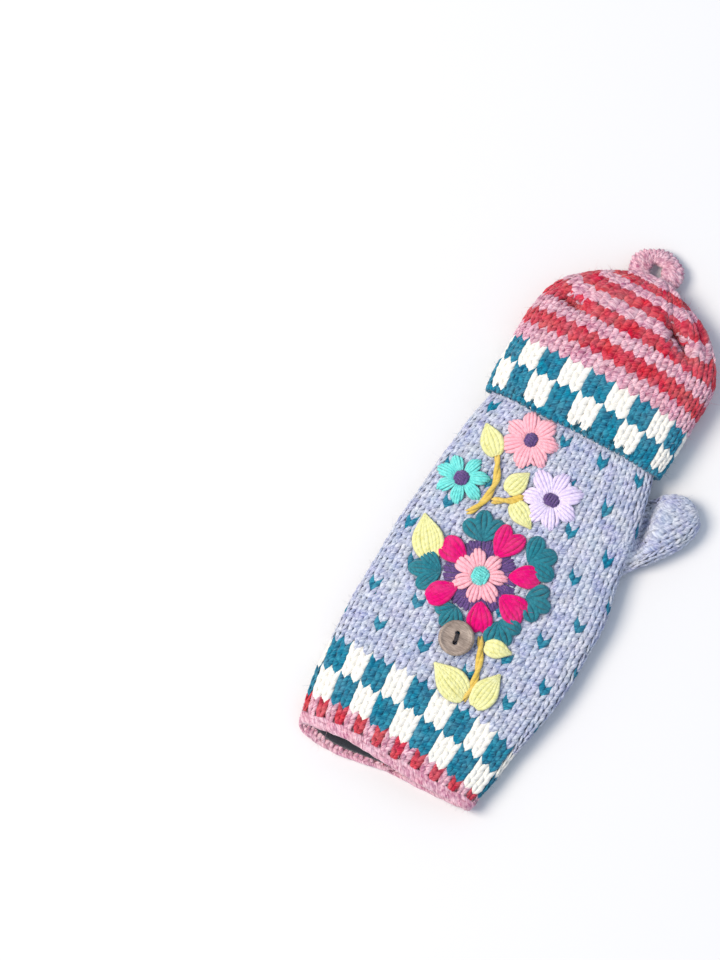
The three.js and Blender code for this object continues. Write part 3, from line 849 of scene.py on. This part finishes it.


# Walls of yarn behind the stitches, which show in the gaps between them: name, wool, and the y from and to
# which they go.
# They have no UVs, so the wool's painted shade darkens them evenly
BACKING = (2.5, 3.1)
HAND_WALLS = [("rim", "pink", -133, -121), ("check", "teal", -121, -90.6), ("hand", "grey", -90.6, 93.6)]
HOOD_WALLS = [("hood_check", "teal", 57, 86), ("hood_stripe", "red", 86, 146)]
for tube, place_of, walls in ((hand_tube, at_mouth, HAND_WALLS), (hood_tube, creased, HOOD_WALLS)):
    for name, colour, start, end in walls:
        shell(tube, f"{name}_backing", *WOOLS[colour], (start, end), BACKING, place_of)
shell(thumb_tube, "thumb_backing", *WOOLS["grey"], (16, 66), (2.2, 2.8), thumb_place, (48, 24))


def in_thumb_mouth(place):
    x, y = place[..., 0], place[..., 1]
    return (x > 40) & (y > 4) & (y < 34)


LINING = (3.35, 4.9)
shell(hand_tube, "cuff_lining_fleece", material("dark_fleece", fleece), "dark_fleece", (-133, 37), LINING,
      at_mouth, (120, 90), in_thumb_mouth, ("cuff_lining",))


# Embroidery, whose strands are a little flat
STRAND_FLAT = 0.82
hand_table = np.array(HAND, float)


def back_height(x, y):
    """The height of the hand's back at a place of its plan."""
    at = np.asarray(y, float)
    left, right, low, high = (hermite(hand_table[:, 0], hand_table[:, k], at) for k in range(1, 5))
    across = np.abs((x - (left + right) / 2) / ((right - left) / 2))
    edge = (low + high) / 2
    return edge + (high - edge) * np.maximum(0, 1 - across ** SQUARENESS) ** (1 / SQUARENESS)


def laid(plan, lift, radius, around=6):
    """Wool strands over the back of the hand. plan is (strand, place, 2), and lift and radius go with it."""
    plan = np.asarray(plan, float)
    x, y = plan[..., 0], plan[..., 1]
    tilt = np.stack([
        back_height(x - 0.5, y) - back_height(x + 0.5, y),
        back_height(x, y - 0.5) - back_height(x, y + 0.5),
        np.ones_like(x),
    ], -1)
    tilt = unit(tilt)
    paths = np.stack([x, y, back_height(x, y)], -1) + tilt * np.asarray(lift)[..., None]
    radius = np.broadcast_to(radius, x.shape)
    return tubes(paths, tilt, radius, radius * STRAND_FLAT, around)


def turned(local, place):
    """Local plan points about a place (x, y, degrees)."""
    angle = math.radians(place[2])
    cos, sin = math.cos(angle), math.sin(angle)
    x = place[0] + local[..., 0] * cos - local[..., 1] * sin
    y = place[1] + local[..., 0] * sin + local[..., 1] * cos
    return np.stack([x, y], -1)


def wobble(shape, size):
    return rng.normal(0, size, shape)


def arch(s, height, sunk=0.5):
    """The lift of a satin strand along it, from under the knitting over its middle and back under."""
    return -sunk + (height + sunk) * np.sin(np.pi * s) ** 0.45


PLACES = 11
ALONG = np.linspace(0, 1, PLACES)


def petal(place, inner, reach, half, count, height, base):
    """One satin petal: strands that fan from the middle of a flower and close up to a rounded end."""
    t = np.linspace(-1, 1, count)[:, None] + wobble((count, 1), 0.04)
    s = ALONG[None, :]
    end = reach * (1 - 0.15 * t ** 2) + wobble((count, 1), 0.15)
    opened = 0.3 + 0.7 * np.sin(np.minimum(s / 0.76, 1) * np.pi / 2)
    across = t * half * opened * (1 - 0.2 * smooth(0.78, 1, s))
    plan = turned(np.stack([inner + (end - inner) * s, across], -1), place)
    radius = half / count * (0.6 + 0.95 * opened) * (1 - 0.25 * s ** 8) * (1 + wobble((count, 1), 0.05))
    lift = base + arch(s, height) * (1 - 0.22 * t ** 2) + wobble((count, 1), 0.06)
    return laid(plan, lift, radius)


PETALS = 7


def flower(x, y, inner, reach, turn, fill, count, height, base=0.35):
    """A ring of petals that fill so much of the room round it, each of count strands."""
    parts = []
    for k in range(PETALS):
        place = (x, y, turn + 360 * k / PETALS + float(wobble((), 2.4)))
        size = reach * (1 + float(wobble((), 0.04)))
        parts.append(petal(place, inner, size, size * math.sin(math.pi / PETALS) * fill, count, height, base))
    return joined(parts)


STRAND = 2.0


def satin(place, start, end, wide, belly, base, height=1.9, point=0.7):
    """A plump lobe of strands side by side from start to end, widest at the belly's share of its length.

    A higher point gives its end a sharper tip.
    """
    count = max(3, round(wide / STRAND))
    t = np.linspace(-0.86, 0.86, count)[:, None] + wobble((count, 1), 0.03)
    s = np.linspace(0.02, 0.98, PLACES + 2)[None, :]
    bulge = np.sin(np.pi * s ** (math.log(0.5) / math.log(belly))) ** np.where(s > belly, point, 0.6)
    start, ahead = np.array(start, float), np.subtract(end, start)
    side = np.array([-ahead[1], ahead[0]]) / np.linalg.norm(ahead)
    local = start + ahead * s[..., None] + side * (t * wide / 2 * bulge)[..., None]
    radius = wide / 2 / count * (0.5 + 0.95 * bulge) * (1 + wobble((count, 1), 0.06))
    lift = base + arch(s, height, 0.4) * (1 - 0.25 * t ** 2) + wobble((count, 1), 0.08)
    return laid(turned(local, place), lift, radius)


def lobes(place, root, tips, wide, base):
    """Satin lobes that leave one root, one to each tip."""
    return joined([satin(place, (root, 0), tip, wide, 0.62, base) for tip in tips])


def knotted_oval(x, y, wide, tall, base, height=1.5, count=5):
    """A padded middle: short stitches side by side, and a few across them."""
    long_way, short_way, turn = (tall, wide, 90) if tall > wide else (wide, tall, 0)
    layers = [
        (0.8, long_way / 2, short_way / 2, 1.25, turn, 0),
        (0.62, short_way * 0.42, long_way / 2, 0.72, turn + 84, 0.55),
    ]
    lift = base + arch(ALONG, height, 0.3) * (1 - 0.3 * np.linspace(-0.8, 0.8, count)[:, None] ** 2)
    parts = []
    for spread, run, room, full, angle, raised in layers:
        t = np.linspace(-spread, spread, count)[:, None]
        local = np.stack([(2 * ALONG - 1) * (np.sqrt(1 - t ** 2) * run), t * room + 0 * ALONG], -1)
        parts.append(laid(turned(local, (x, y, angle)), lift + raised, room / count * full))
    return joined(parts)


# The single flowers: name, x, y, reach, turn, the centre's width and height, fill, and the petals' wool
FLOWERS = [
    ("pink_flower", -17.6, 40.7, 14.3, 12, 6, 8, 0.56, "light_pink"),
    ("lilac_flower", 5.6, 18.3, 15.6, 38, 9, 6.2, 0.54, "lilac"),
    ("turquoise_flower", -39, 7.9, 13, 25, 7, 8, 0.47, "turquoise"),
]
for name, x, y, reach, turn, wide, tall, fill, colour in FLOWERS:
    part = flower(x, y, min(wide, tall) * 0.36, reach * 1.02, turn, fill, 5, 2.0)
    wool_piece(f"{name}_satin", part, colour, (f"{name}_petals",))
    wool_piece(f"{name}_knot", knotted_oval(x, y, wide, tall, 1.3), "purple", (f"{name}_centre",))

ROSETTE = {"x": -7.4, "y": -31.9, "reach": 14.6, "turn": 18, "ground": 17.5, "wide": 8.4, "tall": 10}

# Magenta petals round the rosette: angle, distance, half length, and how far their two tips part
MAGENTA = [
    (80, 20.6, 8.4, 0.62), (26, 21.6, 8.2, 0.16), (-17, 22, 8.2, 0.42),
    (-63, 20.2, 7.8, 0.36), (-129, 20.4, 8.4, 0.14), (163, 18, 8, 0.3),
]

# Leaf clusters round the rosette: angle, distance, half width, half depth
CLUSTERS = [
    (114, 25.4, 10.2, 8.6), (44, 31.6, 12, 8), (2, 31.2, 9.6, 7.2),
    (-41, 30.4, 9.4, 7.2), (-101, 25, 7.6, 6.6), (200, 27.6, 10.4, 9),
]

# Leaves: x, y, length, width, turn
LEAVES = [
    (-35.4, 32.2, 18, 10.6, 134), (-13, 18.7, 15, 10, 69), (-3.6, 4.7, 16.4, 9.4, -29),
    (-40, -25.8, 24.4, 16, 126), (17.6, -60.2, 14, 8, 10), (3.6, -84.9, 24, 15.4, 157),
    (22.4, -80.6, 21, 12.4, 80),
]


def round_rosette(angle, away):
    turn = math.radians(angle)
    return ROSETTE["x"] + away * math.cos(turn), ROSETTE["y"] + away * math.sin(turn), angle


def rosette_ground(count=64, inner=5):
    """Strands that fan out all round under the rosette's petals."""
    angle = np.linspace(0, 2 * np.pi, count, endpoint=False)[:, None] + wobble((count, 1), 0.015)
    s = ALONG[None, :]
    radius = inner + (ROSETTE["ground"] + 0.6 - inner) * s + wobble((count, 1), 0.35)
    plan = np.stack([ROSETTE["x"] + radius * np.cos(angle), ROSETTE["y"] + radius * np.sin(angle)], -1)
    return laid(plan, 0.1 + arch(s, 0.9, 0.3), 0.5 + 0.55 * s)


wool_piece("rosette_ground_satin", rosette_ground(), "purple", ("rosette_ground",))
part = flower(ROSETTE["x"], ROSETTE["y"], 3.4, ROSETTE["reach"], ROSETTE["turn"], 0.48, 4, 1.9, 1.0)
wool_piece("rosette_light_satin", part, "light_pink", ("rosette_light_petals",))
part = knotted_oval(ROSETTE["x"], ROSETTE["y"], ROSETTE["wide"], ROSETTE["tall"], 1.9, 1.6, 6)
wool_piece("rosette_centre_knot", part, "turquoise", ("rosette_centre",))
for k, (angle, away, size, apart) in enumerate(MAGENTA, 1):
    tips = [(size, -size * apart), (size, size * apart)]
    part = lobes(round_rosette(angle, away), -size, tips, size * (1.2 - 0.4 * apart), 0.6)
    wool_piece(f"magenta_satin_{k}", part, "magenta", (f"magenta_petal_{k}",))
for k, (angle, away, wide, deep) in enumerate(CLUSTERS, 1):
    tips = [(deep * 0.3, -wide * 0.92), (deep * 0.3, wide * 0.92), (deep * 0.95, 0)]
    part = lobes(round_rosette(angle, away), -deep * 0.86, tips, wide * 0.68, 0.1)
    wool_piece(f"dark_green_satin_{k}", part, "dark_green", (f"leaf_cluster_{k}",))
for k, (x, y, long, wide, turn) in enumerate(LEAVES, 1):
    part = satin((x, y, turn), (-long / 2, 0), (long / 2, 0), wide, 0.4, 0.5, 1.7, 1.25)
    wool_piece(f"leaf_satin_{k}", part, "leaf_green", (f"leaf_{k}",))

# Each stem's route: x, y
STEMS = {
    "upper_stem": [(-29.6, 27.3), (-26, 20.9), (-23, 12.7), (-23.4, 4.1), (-26.2, -3.5), (-29, -6.5)],
    "branch_stem": [(-20.6, 4.3), (-15.4, 7.1), (-11, 9.6), (-7, 13.8)],
    "lower_stem": [(6.6, -58.4), (10, -64.6), (13, -72.2), (14.8, -81.4), (14.6, -90.6)],
}


def spline(route, places):
    """A smooth line through a few points, evenly spaced, and its length."""
    route = np.array(route, float)
    at = np.arange(len(route))
    fine = np.linspace(0, len(route) - 1, 400)
    line = np.stack([hermite(at, route[:, k], fine) for k in range(2)], -1)
    length = np.concatenate([[0], np.cumsum(np.linalg.norm(np.diff(line, axis=0), axis=1))])
    even = np.linspace(0, length[-1], places)
    return np.stack([np.interp(even, length, line[:, k]) for k in range(2)], -1), length[-1]


def twisted(route, offset=0.8, radius=1.2, pitch=24.0, strands=2, places=60):
    """Strands wound round each other along a route, thinner and lower at its ends."""
    line, length = spline(route, places)
    ahead = unit(np.gradient(line, axis=0))
    side = np.stack([-ahead[:, 1], ahead[:, 0]], -1)
    s = np.linspace(0, 1, places)
    ends = np.minimum(1, 6 * np.minimum(s, 1 - s) + 0.35)
    parts = []
    for k in range(strands):
        phase = 2 * np.pi * (s * length / pitch + k / strands)
        plan = line + side * (offset * np.cos(phase))[:, None]
        lift = 1.25 + 0.6 * np.sin(phase) - 1.2 * (1 - ends)
        parts.append(laid(plan[None], lift[None], radius * ends[None], 8))
    return joined(parts)


for name, route in STEMS.items():
    wool_piece(f"{name}_twist", twisted(route), "mustard", (name,))


# The crocheted loop: stitches along it and round it, and the angle where they start
LOOP_COLUMNS = 17
LOOP_ROWS = 6
LOOP_START = math.radians(200)


def loop_surface(column, row):
    ring = 2 * np.pi * column / LOOP_COLUMNS + LOOP_START
    section = 2 * np.pi * row / LOOP_ROWS
    wide, thick = LOOP["wide"] / 2 + 0.9, LOOP["thick"] / 2 + 0.2
    swell = 1 + 0.12 * np.sin(2 * ring + 1) + 0.07 * np.sin(5 * ring)
    away = LOOP["radius"] + wide * swell * np.cos(section)
    place = np.stack([away * np.cos(ring) * 1.04, away * np.sin(ring), thick * np.sin(section)], -1)
    out = np.cos(section) / wide
    normal = unit(np.stack([out * np.cos(ring), out * np.sin(ring), np.sin(section) / thick], -1))
    cos, sin = math.cos(-LOOP["droop"]), math.sin(-LOOP["droop"])
    for v in (place, normal):
        y, z = v[..., 1].copy(), v[..., 2].copy()
        v[..., 1], v[..., 2] = y * cos - z * sin, y * sin + z * cos
    return place + np.array([LOOP["x"], LOOP["y"], LOOP["z"]]), normal


def loop_core(inset=1.9, around=14, along=72):
    """The closed ring of yarn inside the loop, which shows between its stitches. It has no UVs, so the pink
    wool's painted shade darkens it evenly.
    """
    column = np.arange(along)[:, None] / along * LOOP_COLUMNS
    row = np.arange(around)[None, :] / around * LOOP_ROWS
    place, normal = loop_surface(*np.broadcast_arrays(column, row))
    closed = ring_faces(along + 1, around) % (along * around)
    faces = np.roll(closed[..., ::-1], 1, axis=-1)
    return (place - normal * inset).reshape(-1, 3), faces.reshape(-1, 4)


loop_cells = [(column, row) for row in range(LOOP_ROWS) for column in range(LOOP_COLUMNS)]
wool_piece("loop_crochet", stitches(loop_surface, loop_cells, 1.25), "pink", ("hood_loop",))
mesh_piece("loop_core_ring", *loop_core(), *WOOLS["pink"])


# The button, whose edge is given by how far in from its rim, and how high as a share of its thickness
BUTTON_EDGE = [
    (1.5, 0), (0.7, 0.12), (0.12, 0.34), (0, 0.5), (0.1, 0.68), (0.5, 0.88),
    (1.05, 1), (1.6, 0.97), (2.2, 0.82), (2.8, 0.75), (4.5, 0.72),
]
BUTTON_DISH = 0.7
AXIS = 0.01
BUTTON_LOW = float(back_height(BUTTON["x"], BUTTON["y"])) + PETAL_HEIGHT + 2 * GAP
BUTTON_PLACE = (BUTTON["x"], BUTTON["y"], BUTTON["turn"])


def lathe(profile, around):
    """Points and faces of a profile of (radius, height) turned about the Z axis."""
    profile = np.array(profile, float)
    angle = np.arange(around) / around * 2 * np.pi
    points = np.stack([
        profile[:, :1] * np.cos(angle), profile[:, :1] * np.sin(angle), np.repeat(profile[:, 1:], around, 1),
    ], -1).reshape(-1, 3)
    return points, ring_faces(len(profile), around).reshape(-1, 4)


def shell_button():
    """A disc with a rounded, slightly raised rim and two drilled holes."""
    radius, thick, bore = BUTTON["radius"], BUTTON["thick"], BUTTON["hole"]
    shell_material = material("coconut_shell", coconut)
    edge = [(radius - inset, thick * high) for inset, high in BUTTON_EDGE]
    points, faces = lathe([(AXIS, 0), *edge, (AXIS, thick * BUTTON_DISH)], 72)
    points = points + [BUTTON["x"], BUTTON["y"], BUTTON_LOW]
    disc = mesh_piece("coconut_button", points, faces, shell_material, "coconut_shell", replaces=("button",))
    wider = bore * 1.35
    drill = [(AXIS, -1), (bore, -1), (bore, thick * 0.6)]
    drill += [(wider, thick * 0.8), (wider, thick + 1), (AXIS, thick + 1)]
    drills = []
    for side in (-1, 1):
        walls, sides = lathe(drill, 32)
        x, y = turned(np.array([side * BUTTON["apart"] / 2, 0]), BUTTON_PLACE)
        walls = walls + [x, y, BUTTON_LOW]
        drills.append(mesh_piece(f"drill_{side + 1}", walls, sides, shell_material, "coconut_shell"))
        cut = disc.modifiers.new(f"hole_{side + 1}", "BOOLEAN")
        cut.operation = "DIFFERENCE"
        cut.object = drills[-1]
    bpy.context.view_layer.update()
    drilled = bpy.data.meshes.new_from_object(disc.evaluated_get(bpy.context.evaluated_depsgraph_get()))
    disc.modifiers.clear()
    disc.data = drilled
    for used in drills:
        bpy.data.objects.remove(used)


shell_button()


def thread():
    """Four passes of dark thread from hole to hole."""
    passes = 4
    s = np.linspace(0, 1, 24)[None, :]
    k = np.arange(passes)[:, None]
    along = (2 * s - 1) * BUTTON["apart"] / 2 * (1 + 0.06 * (k - 1.5))
    bow = (k - 1.5) * 0.36 * (0.7 + 0.5 * np.sin(np.pi * s))
    up = BUTTON["thick"] * (0.15 + 0.75 * np.minimum(1, 2.2 * np.sin(np.pi * s) ** 0.8)) + 0.12 * (k % 2)
    plan = turned(np.stack([along, bow], -1), BUTTON_PLACE)
    paths = np.concatenate([plan, (BUTTON_LOW + up)[..., None]], -1)
    normals = np.broadcast_to([0.0, 0.0, 1.0], paths.shape)
    return tubes(paths, normals, 0.3, 0.28, 7)


points, faces, uvs = thread()
dark = material("dark_thread", dark_thread)
mesh_piece("button_thread_passes", points, faces, dark, "dark_thread", uvs, ("button_thread",))


# Loose fibres
FIBRE_PLACES = 4
FIBRE_WIDTH = 0.11
FIBRE_LOW = 0.02


def fuzz(source, name, colour, count, length=2.4):
    """Short curled fibres of one wool that stand off a piece's skin."""
    mesh = source.data
    size = len(mesh.vertices)
    place, normal = np.empty(size * 3), np.empty(size * 3)
    mesh.vertices.foreach_get("co", place)
    mesh.vertices.foreach_get("normal", normal)
    place, normal = place.reshape(-1, 3) / MM, normal.reshape(-1, 3)
    chosen = rng.integers(0, size, count)
    base, out = place[chosen], normal[chosen]
    stray = rng.normal(0, 1, (count, 3))
    heading = unit(out * 0.75 + stray * 0.55)
    bend = rng.normal(0, 1, (count, 3)) * 0.55 - out * 0.35
    reach = length * np.minimum(1.8, rng.gamma(3.0, 1 / 3.0, (count, 1, 1)))
    t = np.linspace(0, 1, FIBRE_PLACES)[None, :, None]
    line = base[:, None] - out[:, None] * 0.1 + (heading[:, None] * t + bend[:, None] * t ** 2 * 0.6) * reach
    line[..., 2] = np.maximum(line[..., 2], FIBRE_LOW)
    side = unit(np.cross(heading, rng.normal(0, 1, (count, 3))))
    half = side[:, None] * (FIBRE_WIDTH / 2) * (1 - 0.6 * t)
    points = np.stack([line - half, line + half], axis=2).reshape(-1, 3)
    at = 2 * (np.arange(count)[:, None] * FIBRE_PLACES + np.arange(FIBRE_PLACES - 1))
    faces = np.stack([at, at + 1, at + 3, at + 2], axis=-1).reshape(-1, 4)
    # The fibres' UV turn sits a quarter of the way round, where the wool's painted shade leaves them at full
    # brightness
    corner = np.array([0.2, 0, 0.3, 0, 0.3, 1, 0.2, 1]).reshape(4, 2)
    uvs = np.repeat(corner[None], len(faces), axis=0)
    uvs[..., 1] += rng.uniform(0, 300, (len(faces), 1))
    wool_piece(name, (points, faces, uvs), colour)


# Fibres for each stitch, and for each piece of embroidery whose name starts so
FUZZ_PER_STITCH = {"back": 15, "palm": 4}
SATIN_FUZZ = [
    ("light_pink", ("pink_flower_satin", "rosette_light"), 460),
    ("lilac", ("lilac_flower_satin",), 460),
    ("turquoise", ("turquoise_flower_satin", "rosette_centre"), 420),
    ("magenta", ("magenta_satin",), 130),
    ("dark_green", ("dark_green_satin",), 150),
    ("leaf_green", ("leaf_satin",), 110),
    ("pink", ("loop_crochet",), 700),
]
for (prefix, side, colour), cells in sorted(knit_cells.items()):
    name = f"{prefix}_{side}_{colour}"
    count = cells * FUZZ_PER_STITCH[side]
    fuzz(bpy.data.objects[f"{name}_stitches"], f"{name}_fibres", colour, count)
for colour, prefixes, count in SATIN_FUZZ:
    for source in [piece for piece in bpy.data.objects if piece.name.startswith(prefixes)]:
        fuzz(source, f"{source.name}_fibres", colour, count, 1.8)


# The stage, in metres
FLOOR = {"half": 15, "colour": (229, 229, 231)}
WORLD = {"colour": (222, 236, 255), "strength": 0.7}
KEY_LIGHT = {"left": 2.05, "up": 3, "size": 1.8, "energy": 129, "colour": (1, 0.904, 0.775)}

# The photo's view: its angles, scale and the pixel where the origin lies
PHOTO_AZIMUTH = math.radians(28)
PHOTO_ELEVATION = math.radians(78)
PIXELS_PER_MM = 2.0
IMAGE = (720, 960)
ORIGIN_PIXEL = (524, 536)
LENS = 150
SENSOR = 36

right = Vector((math.cos(PHOTO_AZIMUTH), math.sin(PHOTO_AZIMUTH), 0))
back = Vector((
    math.sin(PHOTO_AZIMUTH) * math.cos(PHOTO_ELEVATION),
    -math.cos(PHOTO_AZIMUTH) * math.cos(PHOTO_ELEVATION),
    math.sin(PHOTO_ELEVATION),
))
distance = IMAGE[1] / PIXELS_PER_MM * MM * LENS / SENSOR
camera_data = bpy.data.cameras.new("camera")
camera_data.lens = LENS
camera_data.sensor_width = SENSOR
camera_data.shift_x = -(ORIGIN_PIXEL[0] - IMAGE[0] / 2) / IMAGE[1]
camera_data.shift_y = (ORIGIN_PIXEL[1] - IMAGE[1] / 2) / IMAGE[1]
camera_data.clip_end = 20
camera = placed("camera", camera_data)
camera.location = back * distance
camera.rotation_euler = (-back).to_track_quat("-Z", "Y").to_euler()
bpy.context.scene.camera = camera

floor_mesh = bpy.data.meshes.new("floor")
corners = [(x * FLOOR["half"], y * FLOOR["half"], 0) for x, y in ((-1, -1), (1, -1), (1, 1), (-1, 1))]
floor_mesh.from_pydata(corners, [], [(0, 1, 2, 3)])
floor = placed("floor", floor_mesh)


def floor_nodes(tree, shader):
    settings(shader, {"Base Color": linear(FLOOR["colour"]), "Roughness": 0.9, "Specular IOR Level": 0.1})


floor_mesh.materials.append(material("floor_paper", floor_nodes))

world = bpy.data.worlds.new("world")
world.use_nodes = True
sky = world.node_tree.nodes["Background"]
settings(sky, {"Color": linear(WORLD["colour"]), "Strength": WORLD["strength"]})
bpy.context.scene.world = world
bpy.context.scene.view_settings.view_transform = "Standard"

key = bpy.data.lights.new("key", "AREA")
key.size = KEY_LIGHT["size"]
key.energy = KEY_LIGHT["energy"]
key.color = KEY_LIGHT["colour"]
lamp = placed("key", key)
lamp.location = -right * KEY_LIGHT["left"] + Vector((0, 0, KEY_LIGHT["up"]))
lamp.rotation_euler = (-lamp.location).to_track_quat("-Z", "Y").to_euler()
